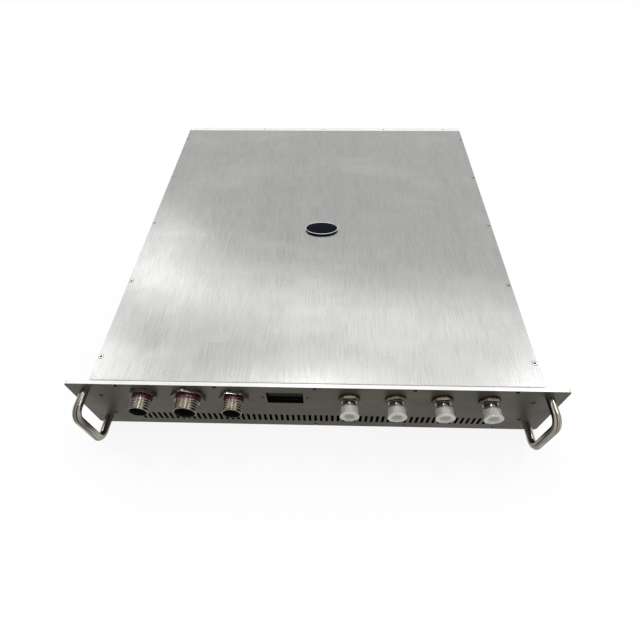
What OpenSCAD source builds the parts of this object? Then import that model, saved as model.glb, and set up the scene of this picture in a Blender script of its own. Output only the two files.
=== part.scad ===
// Rack-mounted RF filter bank: a box of thick brushed plates behind a 19-inch front panel that
// carries three circular receptacles, an hour meter, four capped coaxial jacks and two handles.
// Frame: X to the right, +Y from the front panel to the rear wall, +Z up. The origin is the
// middle of the panel's bottom edge, in the plane of its rear face.

/* [Front panel] */
// Width of the front panel
panel_w = 482.6; // [470:0.1:500]
// Height of the front panel and of the whole box
panel_h = 88.1; // [86:0.1:110]
// Thickness of the front panel
panel_t = 4; // [3:0.5:6]
// Radius of the panel's corners
panel_corner_r = 3; // [1:0.5:5]

/* [Chassis plates] */
// Width over the side walls
chassis_w = 436; // [430:1:444]
// Depth from the panel's rear face to the rear wall's outer face
chassis_d = 466; // [440:1:520]
// Thickness of the base plate
base_t = 8; // [7:0.5:10]
// Thickness of the side walls
side_t = 8; // [7:0.5:10]
// Thickness of the rear wall
rear_t = 8; // [6:0.5:10]
// Thickness of the top cover
cover_t = 5; // [4.9:0.1:8]
// Gap between the panel and the cover's front edge
cover_gap = 0.7; // [0.4:0.1:2]
// Chamfer round the cover's top edges
cover_chamfer = 0.5; // [0.2:0.1:1]

/* [Vent slots] */
// Width of a slot
slot_w = 2.9; // [1.5:0.1:3.5]
// Height of a slot, end to end
slot_h = 15.5; // [8:0.5:18]
// Distance from one slot to the next
slot_pitch = 6; // [5.5:0.1:6.2]
// Slots in the row
slot_count = 63; // [31:2:63]
// Height of the slots' lower ends
slot_low_z = 11.5; // [11:0.5:14]

/* [Plate screws] */
// Shank diameter of the screws in the plates' edges
plate_screw_d = 2.5; // [2:0.1:2.6]
// Head diameter of those screws
plate_screw_head_d = 4.7; // [4:0.1:4.8]
// Length of those screws
plate_screw_l = 14; // [10:1:18]
// Distance from one screw to the next along a row
plate_screw_pitch = 96; // [90:1:99]
// Screws in a row
plate_screw_count = 5; // [3:2:5]
// Height of the lower screw in each side wall
side_screw_low_z = 25.6; // [20:0.1:30]
// Height of the upper screw in each side wall
side_screw_high_z = 64.7; // [55:0.1:70]
// Diameter of the small tapped holes in the rear wall's top edge
edge_hole_d = 2; // [1.5:0.1:3]
// Depth of those holes
edge_hole_depth = 6; // [3:0.5:10]

/* [Cover screws] */
// Shank diameter of the screws that hold the cover and the base to the side walls
cover_screw_d = 3; // [2.5:0.1:3.2]
// Head diameter of those screws
cover_screw_head_d = 5.5; // [5:0.1:5.8]
// Length of those screws
cover_screw_l = 14; // [10:1:18]
// Distance from a wall's outer face to the screws' centres
cover_screw_inset = 3; // [3:0.1:4]
// Distance of the first screw behind the panel's rear face
cover_screw_first_y = 27; // [20:1:40]
// Distance of the last screw in front of the rear wall's outer face
cover_screw_last_y = 32.2; // [25:0.1:40]
// Screws along each side
cover_screw_count = 5; // [3:1:5]

/* [Handles] */
// Diameter of the handle rod
handle_rod_d = 8; // [6:0.5:9]
// Distance between the two legs' centres
handle_pitch = 60.6; // [50:0.1:62]
// Height of the lower leg's centre
handle_low_z = 14.4; // [13:0.1:16]
// Place of the legs between the side wall's face and the panel's end, as a share of that ear
handle_share = 0.3433; // [0.3:0.0001:0.5]
// Distance of the grip's centre in front of the panel
handle_reach = 27; // [22:0.5:40]
// Bend radius of the rod's centre line
handle_bend_r = 10; // [7:0.5:12]
// Diameter of the screws in the legs' ends
handle_screw_d = 4; // [3:0.5:5]
// Length of those screws under their heads
handle_screw_l = 14; // [12:1:20]

/* [Connector row] */
// Height of the connectors' axes
port_z = 67.5; // [66:0.1:68]
// Distance of the two innermost ports from the panel's middle
port_first_x = 34; // [33:0.1:35]
// Distance from one port to the next
port_pitch = 45.5; // [44:0.1:46]
// Radial clearance of a connector's barrel in the panel's hole
panel_hole_gap = 0.15; // [0.1:0.05:0.3]

/* [Circular receptacles] */
// Coupling thread diameter of the small receptacles
small_thread_d = 19.05; // [17:0.05:19.4]
// Coupling thread diameter of the large receptacle
large_thread_d = 22.2; // [20:0.1:24]
// Mounting barrel diameter of the small receptacles
small_barrel_d = 20; // [19.8:0.1:22]
// Mounting barrel diameter of the large receptacle
large_barrel_d = 25; // [24.4:0.1:27]
// Width across the flats of the small jam nuts
small_nut_af = 25.4; // [24:0.1:28]
// Width across the flats of the large jam nut
large_nut_af = 30.2; // [29:0.1:34]
// Thickness of a jam nut
jam_nut_t = 4; // [3:0.1:5]
// Height of the round seat behind the jam nuts' flats
jam_nut_seat_t = 1.4; // [0.5:0.1:2]
// Reach of the mounting barrel in front of the panel, band included
barrel_reach = 7.7; // [7:0.1:9]
// Reach of the whole shell in front of the panel
shell_reach = 18.7; // [16:0.1:22]
// Wall of the shell at its mouth
shell_wall = 1.4; // [1.2:0.1:2.2]
// Height of the insert's face above the panel
insert_reach = 8.6; // [8:0.1:9]
// Diameter of a contact pin
contact_d = 1; // [0.8:0.1:1.2]
// Height of the pins above the insert's face
contact_reach = 4.2; // [3:0.1:5]
// Thickness of the shell's flange behind the panel
flange_t = 3.2; // [2.5:0.1:5]
// Length of the shell's rear barrel behind the flange
rear_barrel_l = 10; // [8:0.5:12]
// Depth of the colour band's groove
band_depth = 0.3; // [0.2:0.1:0.5]
// Diameter of the lock-wire holes in the jam nuts
lock_wire_d = 1.4; // [1:0.1:1.6]

/* [Coaxial jacks] */
// Thread diameter of a jack
jack_thread_d = 15.9; // [15:0.1:16.2]
// Diameter of the relief between a jack's two threads
jack_neck_d = 12.9; // [12:0.1:14]
// Length of the mating thread at a jack's end
jack_thread_l = 9.4; // [8:0.1:10]
// Reach of a jack in front of the panel
jack_reach = 18.4; // [17:0.1:20]
// Width across the flats of a jack's nut
jack_nut_af = 18.5; // [17.5:0.1:20]
// Thickness of a jack's nut
jack_nut_t = 2.5; // [2:0.1:4]
// Thickness of the toothed lock washer
lock_washer_t = 1.9; // [0.8:0.1:2.2]
// Teeth round the lock washer
lock_washer_teeth = 18; // [12:1:24]
// Diameter of a jack's socket
jack_socket_d = 8.6; // [8:0.1:9]
// Depth of the socket down to the insulator
jack_socket_depth = 9; // [7:0.5:10]
// Diameter of the centre contact
jack_contact_d = 3; // [2.5:0.1:3.2]

/* [Push-on caps] */
// Wall of a cap
cap_wall = 0.6; // [0.5:0.1:1.2]
// Length of a cap
cap_l = 9.2; // [8:0.1:10]
// Height of the rim round the closed end
cap_rim_h = 1.8; // [1.5:0.1:2.5]
// How far the rim stands out from the cap's side
cap_rim_out = 0.6; // [0.4:0.05:1.2]
// Depth of the recess in the closed end
cap_recess = 0.8; // [0.4:0.1:1]
// Radial clearance of a cap on its jack
cap_gap = 0.1; // [0.05:0.01:0.1]

/* [Hour meter] */
// Width of the window in the panel
meter_window_w = 36.2; // [34:0.1:38]
// Height of the window in the panel
meter_window_h = 22; // [20:0.1:24]
// Distance of the window's middle to the left of the panel's middle
meter_x = 29.4; // [28:0.1:30]
// Height of the window's middle
meter_z = 65.4; // [63:0.1:66]
// Distance between the meter's two screws
meter_screw_pitch = 44; // [43:0.1:45]
// Depth of the meter's case behind the panel
meter_depth = 30; // [20:1:34]
// Thickness of the meter's lens
lens_t = 1.5; // [1:0.1:2]

/* [Badge] */
// Length of the oval badge
badge_l = 41; // [30:1:50]
// Width of the oval badge
badge_w = 23; // [15:1:30]
// Height of the badge
badge_h = 2.9; // [0.8:0.1:4]
// Width of the badge's raised rim
badge_rim_w = 1; // [0.8:0.1:2]
// Distance of the badge's middle to the right of the part's middle
badge_x = 2.1; // [-20:0.1:20]
// Distance of the badge's middle behind the panel's rear face
badge_y = 219.4; // [150:0.1:300]

/* [Filters] */
// Width of a filter housing
filter_w = 40; // [34:1:42]
// Length of a filter housing
filter_l = 200; // [180:1:205]
// Height of a filter housing with its lid
filter_h = 46; // [42:1:50]
// Thickness of the filter lids
filter_lid_t = 3; // [2:0.5:4]
// Wall round the resonator cavities
cavity_wall = 4; // [3:0.5:5]
// Resonator cavities in a filter
cavity_count = 5; // [3:1:5]
// Distance of the filters behind the panel's rear face
filter_y = 62; // [60:1:70]
// Height of the coaxial ports of the filters and of the switch
inner_port_z = 30; // [26:1:32]

/* [Switch, board and power module] */
// Distance of the switch module behind the filters
switch_gap = 40; // [38:1:50]
// Length of the switch module along Y
switch_l = 44; // [40:1:60]
// Height of the switch module
switch_h = 34; // [32:1:40]
// Width of the control board
board_w = 132; // [126:1:136]
// Length of the control board
board_l = 140; // [130:1:150]
// Thickness of the control board
board_t = 1.6; // [1.2:0.1:2]
// Height of the board's stand-offs
standoff_h = 8; // [6:1:10]
// Width of the power module
power_w = 110; // [100:1:120]
// Length of the power module
power_l = 84; // [70:1:100]
// Height of the power module over its fins
power_h = 36; // [30:1:44]
// Fins on the power module
fin_count = 12; // [6:1:14]
// Diameter of the semi-rigid coaxial line
coax_d = 3.6; // [2.5:0.1:4]
// Diameter of the wire looms
loom_d = 6; // [4:0.5:7]

/* [Hidden] */
$fn = 64;
eps = 0.01;
screw_gap = 0.1;
seat_gap = 0.05;
side = chassis_w / 2;
inner_d = chassis_d - rear_t;
cover_z = panel_h - cover_t;
floor_z = base_t;
side_screw_x = side - side_t / 2;
cover_screw_x = side - cover_screw_inset;
cover_screw_pitch = (chassis_d - cover_screw_first_y - cover_screw_last_y) / (cover_screw_count - 1);
handle_x = side + (panel_w / 2 - side) * handle_share;
jack_xs = [for (i = [0:3]) port_first_x + i * port_pitch];
receptacle_xs = [for (i = [3:-1:1]) -port_first_x - i * port_pitch];
jack_turns = [0, 27, 11, -3];
receptacle_turns = [9, -21, -9];
sma_d = 6.35;
sma_l = 8;
sma_nut_af = 8;
sma_nut_l = 7;
sma_bore_l = 5.5;
jack_flange_t = 3;
jack_stub_y = jack_flange_t + sma_l;
filter_rear_y = filter_y + filter_l;
switch_y = filter_rear_y + switch_gap;
port_flange_t = 2;
board_x = -side + side_t + 8;
board_y = filter_y;
board_z = floor_z + standoff_h;
board_top = board_z + board_t;
header_h = 8;
plug_h = 10;
power_x = board_x + 8;
power_y = board_y + board_l + 36;

// Places and directions

// Out of the panel's front face: local Z points forward
module on_panel(x, z) {
    translate([x, -panel_t, z]) rotate([90, 0, 0]) children();
}

// Out of the rear wall's outer face: local Z points backward
module on_rear(x, z) {
    translate([x, chassis_d, z]) rotate([-90, 0, 0]) children();
}

function row(count, pitch) = [for (i = [0:count - 1]) (i - (count - 1) / 2) * pitch];
function unit(v) = v / norm(v);

plate_screw_xs = row(plate_screw_count, plate_screw_pitch);
cover_screw_ys = [for (i = [0:cover_screw_count - 1]) cover_screw_first_y + i * cover_screw_pitch];
side_screw_places = [for (s = [-1, 1], z = [side_screw_low_z, side_screw_high_z])
                     [s * side_screw_x, z]];
front_screw_places = concat([for (x = plate_screw_xs) [x, base_t / 2]],
                            [for (x = plate_screw_xs) [x, panel_h - cover_t / 2]],
                            side_screw_places);
rear_top_xs = row(plate_screw_count - 1, plate_screw_pitch);
rear_screw_places = concat([for (x = plate_screw_xs) [x, base_t / 2]],
                           [for (x = rear_top_xs) [x, panel_h - cover_t / 2]],
                           side_screw_places);

// Shared shapes

// Countersunk screw with a hexagon socket, its head's face at Z = 0 and its shank below
module flat_screw(d, head_d, length) {
    cone_h = (head_d - d) / 2;
    difference() {
        union() {
            translate([0, 0, -cone_h]) cylinder(d1 = d, d2 = head_d, h = cone_h);
            translate([0, 0, -length]) cylinder(d = d, h = length - cone_h + eps);
        }
        translate([0, 0, -cone_h - 0.3]) cylinder(d = d * 0.72, h = cone_h + 1, $fn = 6);
    }
}

module flat_screw_hole(d, head_d, length) {
    cone_h = (head_d - d) / 2;
    translate([0, 0, -cone_h])
        cylinder(d1 = d + 2 * screw_gap, d2 = head_d + 2 * screw_gap, h = cone_h);
    cylinder(d = head_d + 2 * screw_gap, h = 1);
    translate([0, 0, -length - screw_gap]) cylinder(d = d + 2 * screw_gap, h = length);
}

module rounded_rect(w, h, r) {
    square([w - 2 * r, h], center = true);
    square([w, h - 2 * r], center = true);
    for (x = [-1, 1], y = [-1, 1]) translate([x * (w / 2 - r), y * (h / 2 - r)]) circle(r);
}

module obround(w, h) {
    square([w, h - w], center = true);
    for (y = [-1, 1]) translate([0, y * (h - w) / 2]) circle(d = w);
}

module slot_row() {
    for (x = row(slot_count, slot_pitch)) translate([x, slot_low_z + slot_h / 2]) obround(slot_w, slot_h);
}

// Hexagon nut blank with flats at top and bottom, its corners chamfered on both faces
nut_chamfer = 0.4;

module hex_blank(af, t, chamfer) {
    corner_d = af / cos(30);
    intersection() {
        cylinder(d = corner_d, h = t, $fn = 6);
        union() {
            cylinder(d1 = corner_d - 2 * chamfer, d2 = corner_d, h = chamfer * 0.6);
            translate([0, 0, chamfer * 0.6]) cylinder(d = corner_d, h = t - chamfer * 1.2);
            translate([0, 0, t - chamfer * 0.6])
                cylinder(d1 = corner_d, d2 = corner_d - 2 * chamfer, h = chamfer * 0.6);
        }
    }
}

// Round bar from point a to point b
module bar(a, b, d) {
    v = b - a;
    translate(a) rotate([0, acos(v.z / norm(v)), atan2(v.y, v.x)]) cylinder(d = d, h = norm(v));
}

// Round rod along points that turn by right angles, with a bend of radius r at each turn
module bent_rod(points, d, r) {
    last = len(points) - 1;
    for (i = [0:last - 1]) {
        along = unit(points[i + 1] - points[i]);
        from = points[i] + (i > 0 ? r : 0) * along;
        to = points[i + 1] - (i < last - 1 ? r : 0) * along;
        bar(from, to, d);
    }
    for (i = [1:last - 1]) {
        back = unit(points[i - 1] - points[i]);
        ahead = unit(points[i + 1] - points[i]);
        centre = points[i] + r * (back + ahead);
        x = -ahead;
        y = -back;
        z = cross(x, y);
        multmatrix([[x.x, y.x, z.x, centre.x], [x.y, y.y, z.y, centre.y],
                    [x.z, y.z, z.z, centre.z], [0, 0, 0, 1]])
            rotate_extrude(angle = 90) translate([r, 0]) circle(d = d);
    }
}

// Screw patterns, as the screws and as their holes

module front_screw_holes() {
    for (p = front_screw_places)
        on_panel(p[0], p[1]) flat_screw_hole(plate_screw_d, plate_screw_head_d, plate_screw_l);
}

module rear_screw_holes() {
    for (p = rear_screw_places)
        on_rear(p[0], p[1]) flat_screw_hole(plate_screw_d, plate_screw_head_d, plate_screw_l);
}

module cover_screw_holes() {
    for (s = [-1, 1], y = cover_screw_ys)
        translate([s * cover_screw_x, y, panel_h])
            flat_screw_hole(cover_screw_d, cover_screw_head_d, cover_screw_l);
}

module base_screw_holes() {
    for (s = [-1, 1], y = cover_screw_ys)
        translate([s * cover_screw_x, y, 0]) rotate([180, 0, 0])
            flat_screw_hole(cover_screw_d, cover_screw_head_d, cover_screw_l);
}

// Chassis

handle_zs = [handle_low_z, handle_low_z + handle_pitch];
function receptacle_barrel_d(i) = i == 1 ? large_barrel_d : small_barrel_d;

module front_panel() {
    color("lightgray") difference() {
        translate([0, 0, panel_h / 2]) rotate([90, 0, 0]) linear_extrude(panel_t) difference() {
            rounded_rect(panel_w, panel_h, panel_corner_r);
            translate([0, -panel_h / 2]) {
                slot_row();
                for (x = jack_xs) translate([x, port_z]) circle(d = jack_thread_d + 2 * panel_hole_gap);
                for (i = [0:2])
                    translate([receptacle_xs[i], port_z])
                        circle(d = receptacle_barrel_d(i) + 2 * panel_hole_gap);
                translate([-meter_x, meter_z])
                    square([meter_window_w, meter_window_h], center = true);
                for (x = [-handle_x, handle_x], z = handle_zs)
                    translate([x, z]) circle(d = handle_screw_d + 2 * screw_gap);
            }
        }
        front_screw_holes();
        meter_screw_holes();
    }
}

module base_plate() {
    color("silver") difference() {
        translate([-side, 0, 0]) cube([chassis_w, inner_d, base_t]);
        front_screw_holes();
        rear_screw_holes();
        base_screw_holes();
    }
}

module side_wall(s) {
    color("silver") difference() {
        translate([s > 0 ? side - side_t : -side, 0, base_t])
            cube([side_t, inner_d, cover_z - base_t]);
        front_screw_holes();
        rear_screw_holes();
        cover_screw_holes();
        base_screw_holes();
    }
}

module rear_wall() {
    color("silver") difference() {
        translate([0, chassis_d, 0]) rotate([90, 0, 0]) linear_extrude(rear_t) difference() {
            translate([0, panel_h / 2]) square([chassis_w, panel_h], center = true);
            slot_row();
        }
        rear_screw_holes();
        for (x = plate_screw_xs)
            translate([x, chassis_d - rear_t / 2, panel_h - edge_hole_depth])
                cylinder(d = edge_hole_d, h = edge_hole_depth + 1);
    }
}

// Outline of a plate's section with its two top corners chamfered
module chamfered_section(from, to, c) {
    polygon([[from, cover_z], [to, cover_z], [to, panel_h - c], [to - c, panel_h],
             [from + c, panel_h], [from, panel_h - c]]);
}

module top_cover() {
    color("gainsboro") difference() {
        intersection() {
            translate([0, inner_d, 0]) rotate([90, 0, 0]) linear_extrude(inner_d - cover_gap)
                chamfered_section(-side, side, cover_chamfer);
            translate([-side, 0, 0]) rotate([90, 0, 90]) linear_extrude(chassis_w)
                chamfered_section(cover_gap, inner_d - seat_gap, cover_chamfer);
        }
        front_screw_holes();
        rear_screw_holes();
        cover_screw_holes();
    }
}

module panel_screws() {
    color("dimgray") for (p = front_screw_places)
        on_panel(p[0], p[1]) flat_screw(plate_screw_d, plate_screw_head_d, plate_screw_l);
}

module rear_screws() {
    color("dimgray") for (p = rear_screw_places)
        on_rear(p[0], p[1]) flat_screw(plate_screw_d, plate_screw_head_d, plate_screw_l);
}

module cover_screws() {
    color("silver") for (s = [-1, 1], y = cover_screw_ys)
        translate([s * cover_screw_x, y, panel_h])
            flat_screw(cover_screw_d, cover_screw_head_d, cover_screw_l);
}

module base_screws() {
    color("silver") for (s = [-1, 1], y = cover_screw_ys)
        translate([s * cover_screw_x, y, 0]) rotate([180, 0, 0])
            flat_screw(cover_screw_d, cover_screw_head_d, cover_screw_l);
}

// Handles

module handle(s) {
    x = s * handle_x;
    front = -panel_t;
    grip = front - handle_reach;
    hole_l = handle_screw_l - panel_t + 1;
    color("lightsteelblue") difference() {
        bent_rod([[x, front, handle_zs[0]], [x, grip, handle_zs[0]],
                  [x, grip, handle_zs[1]], [x, front, handle_zs[1]]], handle_rod_d, handle_bend_r);
        for (z = handle_zs)
            translate([x, front + eps, z]) rotate([90, 0, 0])
                cylinder(d = handle_screw_d + 2 * screw_gap, h = hole_l);
    }
}

// Cheese-head screw and plain washer behind the panel at each handle leg
module handle_screws() {
    washer_t = 0.8;
    head_h = 2.6;
    head_d = handle_screw_d * 1.75;
    color("silver") for (x = [-handle_x, handle_x], z = handle_zs)
        translate([x, 0, z]) rotate([90, 0, 0]) difference() {
            union() {
                translate([0, 0, -washer_t]) cylinder(d = handle_screw_d * 2, h = washer_t);
                translate([0, 0, -washer_t - head_h]) cylinder(d = head_d, h = head_h);
                translate([0, 0, -eps]) cylinder(d = handle_screw_d, h = handle_screw_l);
            }
            translate([0, 0, -washer_t - head_h - eps])
                cylinder(d = handle_screw_d * 0.8, h = head_h * 0.7, $fn = 6);
        }
}

// Badge on the cover, left without lettering

function ellipse(l, w) = [for (a = [0:7.5:352.5]) [l / 2 * cos(a), w / 2 * sin(a)]];

module badge() {
    rim_step = 0.4;
    color("midnightblue") translate([badge_x, badge_y, panel_h]) difference() {
        linear_extrude(badge_h) polygon(ellipse(badge_l, badge_w));
        translate([0, 0, badge_h - rim_step]) linear_extrude(badge_h)
            polygon(ellipse(badge_l - 2 * badge_rim_w, badge_w - 2 * badge_rim_w));
    }
}

// Hour meter, behind its window in the panel

meter_face_w = meter_screw_pitch + 7;
meter_face_h = meter_window_h + 4;
lens_w = meter_window_w - 2;
lens_h = meter_window_h - 2;
display_in = 4;
meter_bezel_t = 4;
meter_screw_d = 2;
meter_screw_head_d = 3.2;
meter_screw_l = 7;

module on_meter_screws() {
    for (s = [-1, 1]) on_panel(-meter_x + s * meter_screw_pitch / 2, meter_z + 1) children();
}

module meter_screw_holes() {
    on_meter_screws() flat_screw_hole(meter_screw_d, meter_screw_head_d, meter_screw_l);
}

module meter_block(w, from, to, h) {
    translate([-meter_x - w / 2, from, meter_z - h / 2]) cube([w, to - from, h]);
}

module meter_case() {
    color([0.08, 0.08, 0.09]) difference() {
        union() {
            meter_block(meter_face_w, 0, meter_bezel_t, meter_face_h);
            meter_block(meter_window_w, 0, meter_depth, meter_window_h);
        }
        meter_block(lens_w, -1, lens_t, lens_h);
        meter_block(lens_w - display_in, -1, lens_t + 2, lens_h - display_in);
        meter_screw_holes();
    }
}

module meter_lens() {
    gap = 2 * seat_gap;
    color([0.3, 0.33, 0.35, 0.5]) meter_block(lens_w - gap, 0, lens_t, lens_h - gap);
}

module meter_display() {
    gap = 2 * seat_gap;
    color([0.16, 0.18, 0.16])
        meter_block(lens_w - display_in - gap, lens_t + 1, lens_t + 2, lens_h - display_in - gap);
}

module meter_screws() {
    color("dimgray") on_meter_screws()
        flat_screw(meter_screw_d, meter_screw_head_d, meter_screw_l - 1);
}

// Circular receptacles. Local Z points out of the panel, with the panel's front face at Z = 0

function thread_d(i) = i == 1 ? large_thread_d : small_thread_d;
function nut_af(i) = i == 1 ? large_nut_af : small_nut_af;
function bore_r(i) = thread_d(i) / 2 - shell_wall;
function rear_r(i) = bore_r(i) + 1.4;
rear_end = -panel_t - flange_t - rear_barrel_l;
band_start = jam_nut_t + 0.2;
insert_rear = rear_end + 1;
contact_rings = [[[0.3, 4], [0.72, 9]], [[0, 1], [0.38, 7], [0.76, 14]], [[0.3, 4], [0.72, 9]]];

module on_receptacle(i) {
    on_panel(receptacle_xs[i], port_z) children();
}

// Places of the contacts: rings of [share of the bore radius, contacts in the ring]
function contact_places(i) = [for (ring = contact_rings[i], k = [0:ring[1] - 1])
    bore_r(i) * ring[0] * [cos(360 * k / ring[1] + 90), sin(360 * k / ring[1] + 90)]];

// One wide and four narrow key slots inside the mouth
module key_slots(i) {
    key_angles = [90, 192, 234, 306, 348];
    for (k = [0:4])
        rotate([0, 0, key_angles[k]])
            translate([bore_r(i) - 0.5, -(k == 0 ? 1.1 : 0.7), insert_reach])
                cube([1.3, k == 0 ? 2.2 : 1.4, shell_reach]);
}

module receptacle_shell(i) {
    br = receptacle_barrel_d(i) / 2;
    tr = thread_d(i) / 2;
    edge = 0.7;
    color("silver") on_receptacle(i) difference() {
        rotate_extrude() polygon([
            [bore_r(i), rear_end], [rear_r(i), rear_end], [rear_r(i), -panel_t - flange_t],
            [nut_af(i) / 2 + 0.8, -panel_t - flange_t], [nut_af(i) / 2 + 0.8, -panel_t],
            [br, -panel_t], [br, band_start], [br - band_depth, band_start],
            [br - band_depth, barrel_reach - 0.3], [tr, barrel_reach - 0.3],
            [tr, shell_reach - edge], [tr - edge, shell_reach], [bore_r(i), shell_reach]]);
        key_slots(i);
    }
}

module receptacle_nut(i) {
    af = nut_af(i);
    color("lightgray") on_receptacle(i) rotate([0, 0, receptacle_turns[i]]) difference() {
        union() {
            cylinder(d = af - 1, h = jam_nut_seat_t + 0.5);
            translate([0, 0, jam_nut_seat_t]) hex_blank(af, jam_nut_t - jam_nut_seat_t, nut_chamfer);
        }
        translate([0, 0, -1]) cylinder(d = receptacle_barrel_d(i) + 2 * seat_gap, h = jam_nut_t + 2);
        for (a = [0:120:240])
            rotate([0, 0, a]) translate([af / 2 * 1.03, 0, (jam_nut_seat_t + jam_nut_t) / 2])
                rotate([90, 0, 0]) cylinder(d = lock_wire_d, h = af, center = true);
    }
}

module receptacle_band(i) {
    br = receptacle_barrel_d(i) / 2;
    color([0.55, 0.09, 0.16]) on_receptacle(i) rotate_extrude()
        translate([br - band_depth, band_start])
            square([band_depth, barrel_reach - 0.3 - band_start]);
}

module receptacle_insert(i) {
    color([0.07, 0.07, 0.08]) on_receptacle(i) difference() {
        translate([0, 0, insert_rear]) cylinder(r = bore_r(i) - seat_gap, h = insert_reach - insert_rear);
        for (p = contact_places(i))
            translate([p.x, p.y, insert_rear - 1])
                cylinder(d = contact_d + 2 * seat_gap, h = insert_reach - insert_rear + 2, $fn = 24);
    }
}

module receptacle_contacts(i) {
    tip = 0.3;
    pin_top = insert_reach + contact_reach;
    pin_rear = insert_rear - 3;
    color("goldenrod") on_receptacle(i) for (p = contact_places(i)) translate([p.x, p.y, 0]) {
        translate([0, 0, pin_rear]) cylinder(d = contact_d, h = pin_top - tip - pin_rear, $fn = 24);
        translate([0, 0, pin_top - tip])
            cylinder(d1 = contact_d, d2 = contact_d - 2 * tip, h = tip, $fn = 24);
    }
}

// Coaxial jacks, in the same local frame

module jack_body(i) {
    r = jack_thread_d / 2;
    rear = -panel_t - jack_flange_t - sma_l;
    nut_front = lock_washer_t + jack_nut_t + 0.2;
    edge = 0.8;
    color("silver") on_panel(jack_xs[i], port_z) rotate_extrude() polygon([
        [jack_socket_d / 2, -panel_t], [jack_socket_d / 2, jack_reach], [r - edge, jack_reach],
        [r, jack_reach - edge], [r, jack_reach - jack_thread_l],
        [jack_neck_d / 2, jack_reach - jack_thread_l], [jack_neck_d / 2, nut_front],
        [r, nut_front], [r, -panel_t], [r + 2, -panel_t],
        [r + 2, -panel_t - jack_flange_t], [sma_d / 2, -panel_t - jack_flange_t],
        [sma_d / 2, rear], [jack_contact_d / 2 + 0.6, rear], [jack_contact_d / 2 + 0.6, -panel_t]]);
}

module jack_nuts() {
    color("lightgray") for (i = [0:3])
        on_panel(jack_xs[i], port_z) translate([0, 0, lock_washer_t]) rotate([0, 0, jack_turns[i]])
            difference() {
                hex_blank(jack_nut_af, jack_nut_t, nut_chamfer);
                translate([0, 0, -1]) cylinder(d = jack_thread_d + 2 * seat_gap, h = jack_nut_t + 2);
            }
}

module lock_washers() {
    root_r = jack_nut_af / 2 + 0.2;
    tooth_w = 1.5;
    tooth_out = 1.2;
    color("gray") for (i = [0:3])
        on_panel(jack_xs[i], port_z) rotate([0, 0, jack_turns[i] / 2]) linear_extrude(lock_washer_t)
            difference() {
                union() {
                    circle(root_r);
                    for (k = [0:lock_washer_teeth - 1])
                        rotate(360 * k / lock_washer_teeth)
                            translate([root_r - 1, -tooth_w / 2]) square([1 + tooth_out, tooth_w]);
                }
                circle(d = jack_thread_d + 2 * panel_hole_gap);
            }
}

module jack_insulators() {
    r = jack_socket_d / 2 - seat_gap;
    color("white") for (i = [0:3]) on_panel(jack_xs[i], port_z) difference() {
        translate([0, 0, -panel_t]) cylinder(r = r, h = jack_reach - jack_socket_depth + panel_t);
        translate([0, 0, -panel_t - 1])
            cylinder(d = jack_contact_d + 2 * seat_gap, h = jack_reach + panel_t);
    }
}

// Centre contact with its slotted socket end
module jack_contacts() {
    rear = -panel_t - jack_flange_t - sma_l + 1;
    tip = jack_reach - 1.5;
    bore_l = 5;
    slit = 0.3;
    color("goldenrod") for (i = [0:3]) on_panel(jack_xs[i], port_z) difference() {
        translate([0, 0, rear]) cylinder(d = jack_contact_d, h = tip - rear, $fn = 32);
        translate([0, 0, tip - bore_l]) cylinder(d = jack_contact_d * 0.55, h = bore_l + 1, $fn = 32);
        for (a = [0, 90])
            rotate([0, 0, a]) translate([-jack_contact_d, -slit / 2, tip - bore_l * 0.8])
                cube([2 * jack_contact_d, slit, bore_l]);
    }
}

// Push-on cap over a jack's end
module jack_cap(i) {
    inner_r = jack_thread_d / 2 + cap_gap;
    outer_r = inner_r + cap_wall;
    rim_r = outer_r + cap_rim_out;
    floor_low = jack_reach + cap_gap;
    end = floor_low + cap_wall + cap_recess;
    open_end = end - cap_l;
    rim_edge = 0.4;
    color([0.93, 0.93, 0.9, 0.8]) on_panel(jack_xs[i], port_z) rotate_extrude() polygon([
        [0, floor_low], [inner_r, floor_low], [inner_r, open_end], [outer_r - 0.2, open_end],
        [outer_r, open_end + 0.3], [outer_r, end - cap_rim_h - cap_rim_out],
        [rim_r, end - cap_rim_h], [rim_r, end - rim_edge], [rim_r - rim_edge, end],
        [outer_r - 1.2, end], [outer_r - 1.8, end - cap_recess], [0, end - cap_recess]]);
}

// Cavity filters

function filter_x(i) = jack_xs[i];
cavity_pitch = (filter_l - cavity_wall) / cavity_count;
function cavity_y(k) = filter_y + cavity_wall + (k + 0.5) * cavity_pitch - cavity_wall / 2;
filter_top = floor_z + filter_h - filter_lid_t;
tuning_gap = 3;

// Milled housing: a row of open cavities joined by coupling windows, each with its resonator post
module band_filter(i) {
    cavity_l = cavity_pitch - cavity_wall;
    cavity_w = filter_w - 2 * cavity_wall;
    window_w = 10 + 3 * i;
    post_d = 11 + i;
    post_h = filter_h - filter_lid_t - cavity_wall - 8 - 3 * i;
    color("tan") difference() {
        translate([filter_x(i) - filter_w / 2, filter_y, floor_z])
            cube([filter_w, filter_l, filter_top - floor_z]);
        for (k = [0:cavity_count - 1])
            translate([filter_x(i), cavity_y(k), floor_z + cavity_wall]) difference() {
                translate([-cavity_w / 2, -cavity_l / 2, 0]) cube([cavity_w, cavity_l, filter_h]);
                translate([0, 0, -1]) cylinder(d = post_d, h = post_h + 1);
            }
        for (k = [0:cavity_count - 2])
            translate([filter_x(i) - window_w / 2, cavity_y(k), floor_z + filter_h / 2])
                translate([0, cavity_l / 2 - 1, 0]) cube([window_w, cavity_wall + 2, filter_h]);
        for (y = [filter_y, filter_rear_y])
            translate([filter_x(i), y, inner_port_z]) rotate([90, 0, 0])
                cylinder(d = 4.2, h = 3 * cavity_wall, center = true);
    }
}

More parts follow.
